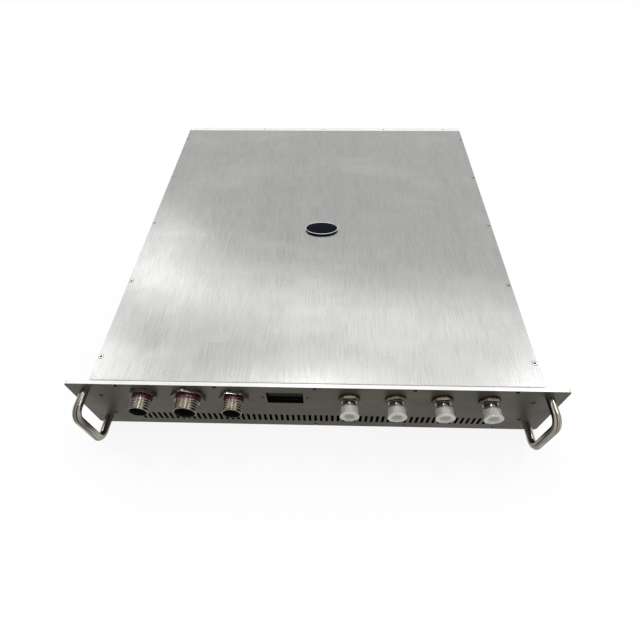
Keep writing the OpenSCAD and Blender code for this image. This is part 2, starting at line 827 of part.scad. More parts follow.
module filter_lids() {
    color("wheat") for (i = [1:3]) difference() {
        translate([filter_x(i) - filter_w / 2, filter_y, filter_top])
            cube([filter_w, filter_l, filter_lid_t]);
        for (k = [0:cavity_count - 1])
            translate([filter_x(i), cavity_y(k), filter_top - 1])
                cylinder(d = 5 + 2 * seat_gap, h = filter_lid_t + 2);
    }
}

// Tuning screw and its lock nut over each resonator
module tuning_screws() {
    color("goldenrod") for (i = [1:3], k = [0:cavity_count - 1])
        translate([filter_x(i), cavity_y(k), filter_top + filter_lid_t]) difference() {
            union() {
                translate([0, 0, -filter_lid_t - tuning_gap])
                    cylinder(d = 5, h = filter_lid_t + tuning_gap + 8);
                cylinder(d = 8 / cos(30), h = 3.2, $fn = 6);
            }
            translate([-3, -0.4, 7]) cube([6, 0.8, 2]);
        }
}

// Panel jack with a square flange, its stub pointing along local Z
module flanged_port() {
    flange = 12.7;
    bore_d = 2;
    difference() {
        union() {
            translate([-flange / 2, -flange / 2, 0]) cube([flange, flange, port_flange_t]);
            cylinder(d = sma_d, h = port_flange_t + sma_l);
        }
        translate([0, 0, -1]) cylinder(d = bore_d, h = port_flange_t + sma_l + 2);
    }
}

module inner_ports() {
    color("gold") {
        for (i = [1:3]) {
            translate([filter_x(i), filter_y, inner_port_z]) rotate([90, 0, 0]) flanged_port();
            translate([filter_x(i), filter_rear_y, inner_port_z]) rotate([-90, 0, 0]) flanged_port();
        }
        for (i = [0:3])
            translate([filter_x(i), switch_y, inner_port_z]) rotate([90, 0, 0]) flanged_port();
    }
}

// Switch module that joins the common jack to one of the filters
module switch_module() {
    left = filter_x(0) - 16;
    right = filter_x(3) + 18;
    lid_t = 2.5;
    step = 2;
    color("burlywood") difference() {
        union() {
            translate([left, switch_y, floor_z]) cube([right - left, switch_l, switch_h - lid_t]);
            translate([left + step, switch_y + step, floor_z])
                cube([right - left - 2 * step, switch_l - 2 * step, switch_h]);
        }
        for (x = [left + 7, right - 7], y = [switch_y + 7, switch_y + switch_l - 7])
            translate([x, y, floor_z + switch_h - 1]) cylinder(d = 5, h = 2);
    }
}

// Coupling nut at the end of a coaxial line, its mouth at Z = 0
module coax_nut() {
    difference() {
        cylinder(d = sma_nut_af / cos(30), h = sma_nut_l, $fn = 6);
        translate([0, 0, -1]) cylinder(d = sma_d + 2 * seat_gap, h = sma_bore_l + 1);
    }
}

// Semi-rigid line between the tips of two stubs, both along Y
module coax_jumper(from, to, drop_y) {
    on = sma_bore_l - seat_gap;
    start = from - [0, on, 0];
    finish = to + [0, on, 0];
    first = start + [0, sma_nut_l - 1, 0];
    final = finish - [0, sma_nut_l - 1, 0];
    translate(start) rotate([-90, 0, 0]) coax_nut();
    translate(finish) rotate([90, 0, 0]) coax_nut();
    if (abs(from.z - to.z) < 1) bar(first, final, coax_d);
    else bent_rod([first, [from.x, drop_y, from.z], [from.x, drop_y, to.z], final], coax_d, 6);
}

module coax_jumpers() {
    stub = port_flange_t + sma_l;
    drop_in_front = (jack_stub_y + filter_y - stub) / 2;
    color("peru") {
        for (i = [1:3]) {
            x = jack_xs[i];
            coax_jumper([x, jack_stub_y, port_z], [x, filter_y - stub, inner_port_z], drop_in_front);
            coax_jumper([x, filter_rear_y + stub, inner_port_z],
                        [x, switch_y - stub, inner_port_z], 0);
        }
        coax_jumper([jack_xs[0], jack_stub_y, port_z],
                    [jack_xs[0], switch_y - stub, inner_port_z], switch_y - stub - 18);
    }
}

// Control board and what stands on it

header_y = board_y + 14;
supply_x = board_x + board_w / 2;
supply_y = board_y + board_l - 12;
link_x = board_x + board_w - 12;
link_y = board_y + board_l / 2;
meter_lead_y = board_y + 24;
relay_y = header_y + 30;
logic_y = board_y + board_l / 2 + 6;
capacitor_y = supply_y - 24;

module control_board() {
    hole_in = 5;
    color("darkgreen") difference() {
        translate([board_x, board_y, board_z]) cube([board_w, board_l, board_t]);
        for (x = [hole_in, board_w - hole_in], y = [hole_in, board_l - hole_in])
            translate([board_x + x, board_y + y, board_z - 1]) cylinder(d = 3.2, h = board_t + 2);
    }
}

// Box on the board, centred on x and y
module chip(x, y, size) {
    translate([x - size.x / 2, y - size.y / 2, board_top]) cube(size);
}

module board_parts() {
    relay = [20, 10, 11];
    processor = [14, 14, 1.6];
    color([0.15, 0.15, 0.17]) {
        for (x = receptacle_xs) chip(x, header_y, [18, 8, header_h]);
        chip(supply_x, supply_y, [16, 8, header_h]);
        chip(link_x, link_y, [8, 14, header_h]);
        chip(link_x, meter_lead_y, [8, 8, header_h]);
        for (i = [0:3]) chip(board_x + 20 + 25 * i, relay_y, relay);
        chip(board_x + 30, logic_y, processor);
        for (i = [0:2]) chip(board_x + 58 + 16 * i, logic_y, [10, 6, 1.6]);
        for (i = [0:3])
            translate([board_x + 20 + 14 * i, capacitor_y, board_top]) cylinder(d = 10, h = 14);
    }
}

module board_standoffs() {
    hole_in = 5;
    color("goldenrod") for (x = [hole_in, board_w - hole_in], y = [hole_in, board_l - hole_in])
        translate([board_x + x, board_y + y, floor_z]) {
            cylinder(d = 6 / cos(30), h = standoff_h, $fn = 6);
            cylinder(d = 3, h = standoff_h + board_t + eps);
            translate([0, 0, standoff_h + board_t]) cylinder(d = 5.6, h = 2);
        }
}

// Supply converter in a finned housing
module power_module() {
    foot_h = 14;
    fin_t = 2;
    fin_pitch = (power_w - fin_t) / (fin_count - 1);
    color("slategray") {
        translate([power_x, power_y, floor_z]) cube([power_w, power_l, foot_h]);
        for (i = [0:fin_count - 1])
            translate([power_x + i * fin_pitch, power_y + 14, floor_z + foot_h - eps])
                cube([fin_t, power_l - 14, power_h - foot_h + eps]);
        translate([power_x + power_w / 2 - 20, power_y + 2, floor_z + foot_h - eps])
            cube([40, 9, 10 + eps]);
    }
}

// Plug that sits on a header, its loom leaving from its top
module plug(x, y, w, d) {
    translate([x - w / 2, y - d / 2, board_top + header_h]) cube([w, d, plug_h]);
}

module wire_looms() {
    bend = 8;
    plug_top = board_top + header_h + plug_h;
    boot_end = -rear_end - panel_t + 8;
    terminal_z = floor_z + 24;
    switch_mid = switch_y + switch_l / 2;
    link_z = floor_z + 46;
    aisle_x = (board_x + board_w + filter_x(0) - 16) / 2;
    lead_d = loom_d / 3;
    lead_bend = 4;
    color([0.2, 0.2, 0.22]) {
        for (i = [0:2]) {
            x = receptacle_xs[i];
            on_receptacle(i) rotate([180, 0, 0]) translate([0, 0, -rear_end - 6]) difference() {
                cylinder(r = rear_r(i) + 1.2, h = 14);
                translate([0, 0, -1]) cylinder(r = rear_r(i) + seat_gap, h = 7);
                cylinder(r = bore_r(i), h = 10);
            }
            bent_rod([[x, boot_end - 1, port_z], [x, header_y, port_z], [x, header_y, plug_top - 1]],
                     loom_d, bend);
            plug(x, header_y, 18, 8);
        }
        plug(supply_x, supply_y, 16, 8);
        bent_rod([[supply_x, supply_y, plug_top - 1], [supply_x, supply_y, link_z],
                  [supply_x, power_y + 6, link_z], [supply_x, power_y + 6, terminal_z + 8]],
                 loom_d, bend);
        translate([supply_x - 8, power_y + 3, terminal_z]) cube([16, 7, 10]);
        plug(link_x, link_y, 8, 14);
        bent_rod([[link_x, link_y, plug_top - 1], [link_x, link_y, link_z], [aisle_x, link_y, link_z],
                  [aisle_x, switch_mid, link_z], [aisle_x, switch_mid, inner_port_z],
                  [filter_x(0) - 16, switch_mid, inner_port_z]], loom_d, bend);
        plug(link_x, meter_lead_y, 8, 8);
        bent_rod([[link_x, meter_lead_y, plug_top - 1], [link_x, meter_lead_y, link_z],
                  [-meter_x, meter_lead_y, link_z], [-meter_x, meter_lead_y, meter_z],
                  [-meter_x, meter_depth, meter_z]], lead_d, lead_bend);
    }
}

front_panel();
base_plate();
side_wall(-1);  // left_wall
side_wall(1);  // right_wall
rear_wall();
top_cover();
panel_screws();
rear_screws();
cover_screws();
base_screws();
handle(-1);  // left_handle
handle(1);  // right_handle
handle_screws();
badge();
meter_case();
meter_display();
meter_lens();
meter_screws();
for (i = [0:2]) {
    receptacle_shell(i);
    receptacle_nut(i);
    receptacle_band(i);
    receptacle_insert(i);
    receptacle_contacts(i);
}
for (i = [0:3]) {
    jack_body(i);
    jack_cap(i);
}
jack_nuts();  // rf_jack_nuts
lock_washers();  // rf_lock_washers
jack_insulators();  // rf_insulators
jack_contacts();  // rf_contacts
for (i = [1:3]) {
    band_filter(i);
}
filter_lids();
tuning_screws();
inner_ports();
switch_module();
coax_jumpers();
control_board();
board_parts();
board_standoffs();
power_module();
wire_looms();
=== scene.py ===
# Looks of a rack-mounted RF filter bank: brushed plates, nickel connectors with cut threads,
# translucent push-on caps, bar handles and a plain studio round them.

import math

import bmesh
import bpy
from mathutils import Matrix, Vector


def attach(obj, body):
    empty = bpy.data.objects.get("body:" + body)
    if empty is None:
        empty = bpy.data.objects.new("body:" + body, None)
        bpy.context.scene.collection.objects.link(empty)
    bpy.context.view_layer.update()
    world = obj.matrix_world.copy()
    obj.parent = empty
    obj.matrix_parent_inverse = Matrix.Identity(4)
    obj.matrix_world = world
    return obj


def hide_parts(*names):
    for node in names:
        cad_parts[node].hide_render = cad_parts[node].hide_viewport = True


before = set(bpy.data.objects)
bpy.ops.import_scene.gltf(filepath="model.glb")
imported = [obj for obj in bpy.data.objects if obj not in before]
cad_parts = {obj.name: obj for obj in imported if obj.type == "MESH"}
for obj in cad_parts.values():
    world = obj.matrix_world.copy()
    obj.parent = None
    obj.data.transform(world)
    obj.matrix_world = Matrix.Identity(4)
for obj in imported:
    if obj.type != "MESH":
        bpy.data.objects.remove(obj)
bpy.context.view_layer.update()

# Sizes of the object in millimetres, as its construction has them
MM = 0.001
PANEL_T = 4
PANEL_W = 482.6
PANEL_H = 88.1
CHASSIS_W = 436
CHASSIS_D = 466
BASE_T = 8
COVER_T = 5
COVER_GAP = 0.7
REAR_T = 8
SIDE_T = 8
PORT_Z = 67.5
PORT_FIRST_X = 34
PORT_PITCH = 45.5
JACK_XS = [PORT_FIRST_X + PORT_PITCH * i for i in range(4)]
RECEPTACLE_XS = [-PORT_FIRST_X - PORT_PITCH * i for i in (3, 2, 1)]
SCREW_ROW_PITCH = 96
SIDE_SCREW_X = CHASSIS_W / 2 - SIDE_T / 2
SIDE_SCREW_ZS = (25.6, 64.7)
COVER_SCREW_INSET = 3
COVER_SCREW_X = CHASSIS_W / 2 - COVER_SCREW_INSET
COVER_SCREW_FIRST_Y = 27
COVER_SCREW_PITCH = 101.7
COVER_SCREW_YS = [COVER_SCREW_FIRST_Y + COVER_SCREW_PITCH * i for i in range(5)]
HANDLE_X = 226
HANDLE_ZS = (14.4, 75)
HANDLE_REACH = 27
HANDLE_ROD_D = 8
HANDLE_BEND_R = 10
BADGE_X = 2.1
BADGE_Y = 219.4


# Colours and shader helpers

def linear(hex_colour):
    """An sRGB hex colour as a linear RGBA list."""
    channels = [int(hex_colour[i:i + 2], 16) / 255 for i in (1, 3, 5)]
    return [c / 12.92 if c <= 0.04045 else ((c + 0.055) / 1.055) ** 2.4 for c in channels] + [1]


def add(tree, kind, settings=(), values=(), **links):
    """Adds a node with its settings, its sockets' values and the outputs linked to its sockets."""
    made = tree.nodes.new(kind)
    for name, value in dict(settings).items():
        setattr(made, name, value)
    for name, value in dict(values).items():
        made.inputs[name].default_value = value
    for name, output in links.items():
        key = int(name[1:]) if name[0] == "i" and name[1:].isdigit() else name.replace("_", " ")
        tree.links.new(output, made.inputs[key])
    return made


def start_material(name):
    """An empty node tree for a new material, with its shader and its output."""
    material = bpy.data.materials.new(name)
    material.use_nodes = True
    tree = material.node_tree
    tree.nodes.clear()
    shader = add(tree, "ShaderNodeBsdfPrincipled")
    add(tree, "ShaderNodeOutputMaterial", Surface=shader.outputs[0])
    return material, tree, shader


def pattern(tree, size_mm, low=0.0, high=1.0, detail=2.0, usual=(0.32, 0.68)):
    """A pattern whose marks measure size_mm along X, Y and Z of the object, from low to high."""
    place = add(tree, "ShaderNodeTexCoord")
    scaled = add(tree, "ShaderNodeMapping", values={"Scale": [1 / (s * MM) for s in size_mm]},
                 Vector=place.outputs["Object"])
    marks = add(tree, "ShaderNodeTexNoise", values={"Scale": 1, "Detail": detail},
                Vector=scaled.outputs[0])
    return add(tree, "ShaderNodeMapRange",
               values={"From Min": usual[0], "From Max": usual[1], "To Min": low, "To Max": high},
               Value=marks.outputs["Fac"]).outputs[0]


def finish_surface(tree, shader, colour, roughness, relief, relief_mm, edge_mm=0.0):
    """Gives the shader its colour, its roughness and its relief, over rounded edges if wanted."""
    height = add(tree, "ShaderNodeBump", values={"Strength": 0.5, "Distance": relief_mm * MM},
                 Height=relief)
    if edge_mm:
        edge = add(tree, "ShaderNodeBevel", {"samples": 4}, {"Radius": edge_mm * MM})
        tree.links.new(edge.outputs[0], height.inputs["Normal"])
    tree.links.new(colour, shader.inputs["Base Color"])
    tree.links.new(roughness, shader.inputs["Roughness"])
    tree.links.new(height.outputs[0], shader.inputs["Normal"])


def within(tree, limits):
    """1 where the object's coordinates lie within every (axis, middle, reach), in millimetres."""
    place = add(tree, "ShaderNodeTexCoord")
    axes = add(tree, "ShaderNodeSeparateXYZ", Vector=place.outputs["Object"])
    inside = None
    for axis, middle, reach in limits:
        near = add(tree, "ShaderNodeMath", {"operation": "COMPARE"},
                   {1: middle * MM, 2: reach * MM}, i0=axes.outputs[axis])
        if inside:
            near = add(tree, "ShaderNodeMath", {"operation": "MULTIPLY"}, i0=inside.outputs[0],
                       i1=near.outputs[0])
        inside = near
    return inside.outputs[0]


# Materials

# Painted shade: the dark tone given to the front-facing planes of the nuts
FRONT_SHADE = "#37332D"
JAM_NUT_FACE = -8
JACK_NUT_FACE = -8.4
BELT_LINE_W = 0.8
BELT_LINE_L = 24
BELT_BAND_W = 9
BELT_BAND_L = 600
HANDLING_MARKS = (95, 40, 60)


def brushed_aluminium(name, brushing, dark, light, mark, roughness, faces, edges="#E9E9E7"):
    """Aluminium plate brushed along one axis by a belt: fine streaks, a highlight drawn out across
    them, faint marks of handling, and pale sawn edges outside the limits of its faces. Belt lines
    of 0.1 mm are drawn 0.8 mm wide to show."""
    material, tree, shader = start_material(name)
    streak = [BELT_LINE_L if axis == brushing else BELT_LINE_W for axis in "XYZ"]
    stripe = [BELT_BAND_L if axis == brushing else BELT_BAND_W for axis in "XYZ"]
    lines = pattern(tree, streak, detail=2)
    colour = add(tree, "ShaderNodeMix", {"data_type": "RGBA"}, {6: linear(dark), 7: linear(light)},
                 i0=lines)
    colour = add(tree, "ShaderNodeMix", {"data_type": "RGBA"}, {7: linear(light)},
                 i0=pattern(tree, stripe, 0, 0.4), i6=colour.outputs[2])
    colour = add(tree, "ShaderNodeMix", {"data_type": "RGBA"}, {7: linear(mark)},
                 i0=pattern(tree, HANDLING_MARKS, 0, 0.4, 4, (0.5, 0.75)), i6=colour.outputs[2])
    colour = add(tree, "ShaderNodeMix", {"data_type": "RGBA"}, {6: linear(edges)},
                 i0=within(tree, faces), i7=colour.outputs[2])
    shader.inputs["Metallic"].default_value = 1
    shader.inputs["Anisotropic"].default_value = 0.6
    across = add(tree, "ShaderNodeCombineXYZ",
                 values={axis: 1 for axis in "XYZ" if axis != brushing})
    tree.links.new(across.outputs[0], shader.inputs["Tangent"])
    rough = pattern(tree, (35, 45, 35), *roughness)
    finish_surface(tree, shader, colour.outputs[2], rough, lines, 0.02, 0.25)
    return material


def front_panel_aluminium(name):
    """The front panel's plate: a brushed face painted dark as painted shade, pale edges and rear
    face, and painted shade on the walls of its slots and windows."""
    # Painted shade: the face's dark tones stand for the dark surroundings it mirrors; its edges
    # keep the pale aluminium
    material = brushed_aluminium(name, "X", "#4B4841", "#58544C", "#69655C", (0.42, 0.52),
                                 [("Y", -PANEL_T, 0.05)], "#D8D8D5")
    tree = material.node_tree
    shader = tree.nodes["Principled BSDF"]
    plate = shader.inputs["Base Color"].links[0].from_socket
    holes = within(tree, [("Y", -PANEL_T / 2, PANEL_T / 2 - 0.05), ("X", 0, PANEL_W / 2 - 4),
                          ("Z", PANEL_H / 2, PANEL_H / 2 - 3.2)])
    # Painted shade: near black on the walls of the slots and windows
    walls = add(tree, "ShaderNodeMix", {"data_type": "RGBA"}, {7: linear("#121110")}, i0=holes,
                i6=plate)
    tree.links.new(walls.outputs[2], shader.inputs["Base Color"])
    return material


def plated_metal(name, dark, light, roughness=(0.2, 0.3), cloud_mm=5.0, painted_shade_fronts=()):
    """Turned or stamped metal under a plating: an even tone, tool marks of 0.5 mm that only catch
    the light at an edge, and painted shade, a darker tone, on the front-facing planes at the given
    Y."""
    material, tree, shader = start_material(name)
    colour = add(tree, "ShaderNodeMix", {"data_type": "RGBA"}, {6: linear(dark), 7: linear(light)},
                 i0=pattern(tree, (cloud_mm,) * 3, detail=1))
    # Painted shade: each front-facing plane at these Y values takes the dark front tone
    for y in painted_shade_fronts:
        colour = add(tree, "ShaderNodeMix", {"data_type": "RGBA"}, {7: linear(FRONT_SHADE)},
                     i0=within(tree, [("Y", y, 0.06)]), i6=colour.outputs[2])
    shader.inputs["Metallic"].default_value = 1
    rough = pattern(tree, (cloud_mm * 0.6,) * 3, *roughness)
    finish_surface(tree, shader, colour.outputs[2], rough, pattern(tree, (0.5,) * 3), 0.003)
    return material


def moulded(name, dark, light, roughness=0.45, grain_mm=0.8, relief_mm=0.01, coat=0.0,
            gloss=0.5):
    """Moulded or lacquered plastic: a fine grain in its surface and a slightly uneven tone."""
    material, tree, shader = start_material(name)
    colour = add(tree, "ShaderNodeMix", {"data_type": "RGBA"}, {6: linear(dark), 7: linear(light)},
                 i0=pattern(tree, (grain_mm * 12,) * 3))
    grain = pattern(tree, (grain_mm,) * 3)
    shader.inputs["Coat Weight"].default_value = coat
    shader.inputs["Specular IOR Level"].default_value = gloss
    rough = pattern(tree, (grain_mm * 4,) * 3, roughness - 0.06, roughness + 0.06)
    finish_surface(tree, shader, colour.outputs[2], rough, grain, relief_mm)
    return material


def drawn_stainless(name, dark, light):
    """Stainless rod polished along its length: soft mirror with lengthwise lines, drawn 1 mm wide
    so that they show. Their strong dark and light tones are partly painted reflection, dark for
    dark surroundings and light for bright streaks."""
    material, tree, shader = start_material(name)
    lines = pattern(tree, (1, 40, 40), detail=1)
    colour = add(tree, "ShaderNodeMix", {"data_type": "RGBA"}, {6: linear(dark), 7: linear(light)},
                 i0=lines)
    shader.inputs["Metallic"].default_value = 1
    rough = pattern(tree, (8, 8, 8), 0.12, 0.2)
    finish_surface(tree, shader, colour.outputs[2], rough, lines, 0.004)
    return material


def see_through(name, dark, light, clearness, ior, roughness, gloss, cloud_mm):
    """Plastic that lets light through: milky natural polythene, or smoked acrylic."""
    material, tree, shader = start_material(name)
    colour = add(tree, "ShaderNodeMix", {"data_type": "RGBA"}, {6: linear(dark), 7: linear(light)},
                 i0=pattern(tree, (cloud_mm,) * 3))
    shader.inputs["Transmission Weight"].default_value = clearness
    shader.inputs["IOR"].default_value = ior
    shader.inputs["Specular IOR Level"].default_value = gloss
    rough = pattern(tree, (cloud_mm,) * 3, *roughness)
    finish_surface(tree, shader, colour.outputs[2], rough, pattern(tree, (3,) * 3), 0.002)
    return material


COVER_FACES = [("X", 0, CHASSIS_W / 2 - 0.4), ("Y", (CHASSIS_D - REAR_T + COVER_GAP) / 2,
                                                (CHASSIS_D - REAR_T - COVER_GAP) / 2 - 0.4)]
materials = {
    # Belt-brushed plate: pale, with fine streaks that draw highlights out across them
    "cover": brushed_aluminium("brushed_aluminium_cover", "Y", "#9B9B9A", "#ABABA9", "#B9B9B6",
                               (0.24, 0.3), COVER_FACES),
    "panel": front_panel_aluminium("brushed_aluminium_front"),
    "plate": brushed_aluminium("brushed_aluminium_plates", "Y", "#9F9F9E", "#AFAFAD", "#BBBBB8",
                               (0.32, 0.4), [("Y", CHASSIS_D / 2, CHASSIS_D / 2 - 8.5)]),
    "rear": brushed_aluminium("brushed_aluminium_rear", "X", "#9F9F9E", "#AFAFAD", "#BBBBB8",
                              (0.32, 0.4), [("Z", PANEL_H / 2, PANEL_H / 2 - 0.1)]),
    # Nickel over turned brass: a warm grey with sharp highlights along thread crests
    "nickel": plated_metal("nickel_plated_brass", "#6F695E", "#827B6F", (0.06, 0.1)),
    # Painted shade: near-black nickel for the receptacle mouths' front faces and lead-ins
    "painted_shade_fronts": plated_metal("nickel_front_painted_shade", "#1C1A17", "#25221E", (0.3, 0.4)),
    # Painted light: the nuts' nickel is a lighter copy of the shells' nickel, and the jack nuts'
    # lighter still, so that their facets look lit
    "nut": plated_metal("nickel_plated_nut", "#979186", "#A6A095", (0.1, 0.16), 9,
                        (JAM_NUT_FACE,)),
    "jack_nut": plated_metal("nickel_plated_jack_nut", "#BDB8AC", "#CCC7BC", (0.32, 0.4), 9,
                             (JACK_NUT_FACE,)),
    # Hardware: satin steel, blackened steel in the panel, brass and copper inside
    "washer": plated_metal("zinc_plated_spring_steel", "#4A463F", "#5E584F", (0.3, 0.4)),
    # Painted reflection: the rod's dark and light tones stand for the dark surroundings and bright
    # streaks that it mirrors
    "stainless": drawn_stainless("polished_stainless_rod", "#3A362F", "#B0ACA1"),
    "bright_screw": plated_metal("stainless_screw", "#A5A4A1", "#C2C1BD", (0.24, 0.32)),
    "dark_screw": plated_metal("blackened_steel_screw", "#0A0908", "#13110F", (0.4, 0.5)),
    # Painted shade: the gold is darkened to brown, as the contacts sit in shade deep in their
    # sockets
    "gold": plated_metal("gold_contact_painted_shade", "#4E3D1C", "#685226", (0.3, 0.4), 2),
    "brass": plated_metal("machined_brass", "#A98848", "#C4A566", (0.26, 0.36)),
    "copper": plated_metal("bare_copper_tube", "#9A5F3C", "#B77B55", (0.28, 0.4)),
    "chromate": plated_metal("chromate_coated_aluminium", "#B3A06A", "#C8B987", (0.36, 0.46), 12),
    "module": plated_metal("anodised_heat_sink", "#454A52", "#585E67", (0.42, 0.52)),
    "rim": plated_metal("chromed_badge_rim", "#C4C5C7", "#E4E5E6", (0.1, 0.18), 3),
    "recess": plated_metal("unlit_screw_recess", "#0C0B0A", "#181614", (0.5, 0.6), 2),
    # Lacquer, moulded plastic and print: dark, with little shine beside the metal
    "band": moulded("dark_red_lacquer", "#3C0B13", "#50121C", 0.26, gloss=0.5),
    "insert": moulded("black_moulded_insert", "#060606", "#101011", 0.5, gloss=0.25),
    "case": moulded("black_moulded_case", "#040404", "#0A0A0B", 0.55, gloss=0.05),
    "display": moulded("dark_display_glass", "#050605", "#0B0C0B", 0.45, gloss=0.03),
    "ptfe": moulded("turned_white_ptfe", "#E4E3DE", "#F4F4F1", 0.5),
    "board": moulded("green_solder_mask", "#0C3B1F", "#14512C", 0.35, coat=0.5),
    "parts": moulded("black_component_epoxy", "#141415", "#222224", 0.5),
    "loom": moulded("braided_black_sleeve", "#101011", "#242427", 0.65, 1.2, 0.15),
    "enamel": moulded("dark_blue_enamel", "#020410", "#050818", 0.22, 3, 0.002, gloss=0.06),
    "ink": moulded("black_screen_print", "#080808", "#151413", 0.55, gloss=0.2),
    # Natural polythene and smoked acrylic: light passes in, so edges look soft or deep
    "cap": see_through("natural_polythene_side", "#B1AFA6", "#BFBDB4", 0.35, 1.51, (0.14, 0.2),
                       0.6, 9),
    "cap_rim": see_through("natural_polythene_rim", "#BDBBB2", "#C8C6BD", 0.2, 1.51, (0.2, 0.28),
                           0.5, 9),
    # Painted shade: a darker copy of the polythene for the middle of each cap's end, over the dark
    # socket
    "cap_end": see_through("polythene_end_painted_shade", "#83827A", "#908F86", 0.15, 1.51, (0.35, 0.45),
                           0.3, 9),
    "lens": see_through("smoked_acrylic_lens", "#0B0A0A", "#121110", 0.4, 1.2, (0.2, 0.26),
                        0.05, 6),
}

NODE_FINISHES = {
    "cover": ["top_cover"], "panel": ["front_panel"], "rear": ["rear_wall"],
    "plate": ["base_plate", "left_wall", "right_wall"],
    "nut": ["receptacle_1_nut", "receptacle_2_nut", "receptacle_3_nut"],
    "jack_nut": ["rf_jack_nuts"],
    "washer": ["rf_lock_washers"],
    "band": ["receptacle_1_band", "receptacle_2_band", "receptacle_3_band"],
    "insert": ["receptacle_1_insert", "receptacle_2_insert", "receptacle_3_insert"],
    "gold": ["receptacle_1_contacts", "receptacle_2_contacts", "receptacle_3_contacts",
             "rf_contacts"],
    "ptfe": ["rf_insulators"], "case": ["meter_case"], "display": ["meter_display"],
    "lens": ["meter_lens"], "dark_screw": ["meter_screws"], "bright_screw": ["handle_screws"],
    "chromate": ["band_filter_1", "band_filter_2", "band_filter_3", "filter_lids",
                 "switch_module"],
    "brass": ["tuning_screws", "inner_ports", "board_standoffs"], "copper": ["coax_jumpers"],
    "board": ["control_board"], "parts": ["board_parts"], "module": ["power_module"],
    "loom": ["wire_looms"],
}

for finish, names in NODE_FINISHES.items():
    for name in names:
        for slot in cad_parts[name].material_slots:
            slot.material = materials[finish]


# Mesh helpers

def new_piece(name, mesh, finish, body="chassis", replaced=()):
    """A finished piece at the origin, on its body, with its material."""
    piece = bpy.data.objects.new(name, mesh)
    bpy.context.scene.collection.objects.link(piece)
    if not mesh.materials:
        mesh.materials.append(materials[finish])
    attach(piece, body)
    if replaced:
        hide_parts(*replaced)
    return piece


def smooth(mesh, degrees=35):
    """Smooth shading with edges sharper than the angle kept."""
    work = bmesh.new()
    work.from_mesh(mesh)
    limit = math.radians(degrees)
    for edge in work.edges:
        edge.smooth = len(edge.link_faces) == 2 and edge.calc_face_angle(0) < limit
    for face in work.faces:
        face.smooth = True
    work.to_mesh(mesh)
    work.free()


def out_of_panel(x):
    """From a port's own frame, whose Z points out of the panel's front face, to the object's."""
    face = Matrix.Translation(Vector((x, -PANEL_T, PORT_Z)) * MM)
    return face @ Matrix.Rotation(math.pi / 2, 4, "X") @ Matrix.Scale(MM, 4)


def turned(name, outline, place, finishes, segments=96, radius_at=None, zones=()):
    """Solid turned from a closed outline of (radius, height) points, anticlockwise. radius_at may
    change a point's radius by its angle, for a thread or a key slot. Each zone is a run of the
    outline's stretches, first to last, with the place of its finish in finishes."""
    mesh = bpy.data.meshes.new(name)
    work = bmesh.new()
    rings = []
    for step in range(segments):
        angle = 2 * math.pi * step / segments
        ring = []
        for radius, height in outline:
            r = radius_at(radius, height, angle) if radius_at else radius
            ring.append(work.verts.new((r * math.cos(angle), r * math.sin(angle), height)))
        rings.append(ring)
    count = len(outline)
    for step in range(segments):
        here, ahead = rings[step], rings[(step + 1) % segments]
        for i in range(count):
            j = (i + 1) % count
            face = work.faces.new((here[i], ahead[i], ahead[j], here[j]))
            face.material_index = sum(kind for first, last, kind in zones if first <= i <= last)
    bmesh.ops.remove_doubles(work, verts=work.verts, dist=1e-4)
    bmesh.ops.dissolve_degenerate(work, edges=work.edges, dist=1e-5)
    bmesh.ops.recalc_face_normals(work, faces=work.faces)
    work.transform(place)
    work.to_mesh(mesh)
    work.free()
    smooth(mesh)
    for finish in finishes:
        mesh.materials.append(materials[finish])
    return mesh


def heights(low, high, step):
    """Evenly spaced heights from low to high."""
    count = max(2, round((high - low) / step))
    return [low + (high - low) * i / count for i in range(count + 1)]


LEAD_IN = 0.2
RUN_OUT = 0.4


def thread_cut(major, depth, low, high, pitch, starts, crest=0.5):
    """A function that cuts a helical groove into points on the major radius. The groove fades out
    over a share of its pitch at either end."""
    def radius_at(radius, height, angle):
        if abs(radius - major) > 1e-6 or not low < height < high:
            return radius
        turn = (height - pitch * starts * angle / (2 * math.pi)) / pitch
        wave = abs((turn % 1) - 0.5) * 2
        groove = min(1, max(0, (wave - crest * 0.5) / (1 - crest)))
        ends = min(1, (height - low) / (RUN_OUT * pitch), (high - height) / (RUN_OUT * pitch))
        return radius - depth * groove * ends
    return radius_at


# Circular receptacles: shells with a coarse coupling thread and key slots in the mouth

RECEPTACLES = [
    {"thread": 19.05, "barrel": 20, "nut": 25.4},
    {"thread": 22.2, "barrel": 25, "nut": 30.2},
    {"thread": 19.05, "barrel": 20, "nut": 25.4},
]
SHELL_REACH = 18.7
BARREL_REACH = 7.4
INSERT_REACH = 8.6
SHELL_WALL = 1.4
FLANGE_T = 3.2
REAR_BARREL = 10
BAND_FROM = 4.2
BAND_DEPTH = 0.3
COUPLING_PITCH = 2.54
COUPLING_DEPTH = 0.4
KEY_ANGLES = (90, 192, 234, 306, 348)
MAIN_KEY_HALF_W = 1.1
KEY_HALF_W = 0.7
KEY_DEPTH = 0.75
REAR_BARREL_WALL = 1.4
FLANGE_OVERHANG = 0.8
MOUTH_EDGE = 0.55
COUPLING_STEP = 0.16


